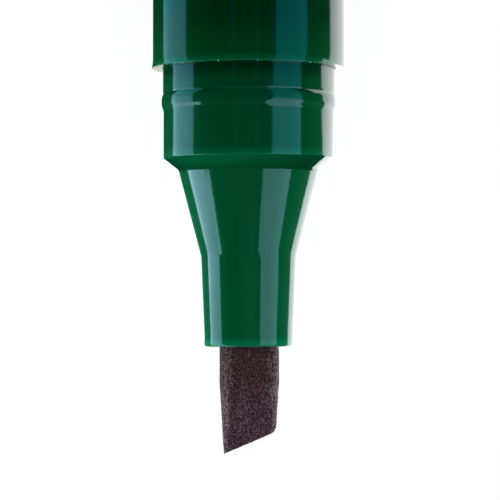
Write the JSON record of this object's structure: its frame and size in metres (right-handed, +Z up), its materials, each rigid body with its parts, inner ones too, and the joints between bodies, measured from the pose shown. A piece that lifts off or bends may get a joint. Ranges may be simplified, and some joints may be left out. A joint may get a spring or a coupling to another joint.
{
  "type": "permanent marker",
  "caption": "Round permanent marker with a chisel felt nib, a tapered nose with a snap bead, and a clip cap that slides off the tail.",
  "frame": {"origin": "on the marker's axis, at the barrel's front rim", "axes": "+Y along the axis towards the tail, so the nib points towards -Y; +Z up with the marker lying on its side; +X across, on the clip's side"},
  "size_m": [0.019, 0.156, 0.0168],
  "materials": {
    "green_plastic": "glossy moulded polypropylene",
    "felt": "dense bonded fibre, soaked with ink",
    "ink_fibre": "loose bonded fibre, soaked with ink",
    "film": "thin clear film",
    "natural_plastic": "natural unpigmented polyethylene"
  },
  "bodies": {
    "marker": {"barrel": "green_plastic", "front_section": "green_plastic", "nib": "felt", "ink_reservoir": "ink_fibre", "reservoir_wrap": "film", "tail_plug": "green_plastic"},
    "cap": {"cap_shell": "green_plastic", "inner_cap": "natural_plastic"}
  },
  "joints": [
    {"name": "cap_pull", "type": "slide", "parent": "marker", "child": "cap", "axis": [0, 1, 0], "range_m": [0, 0.04]}
  ]
}
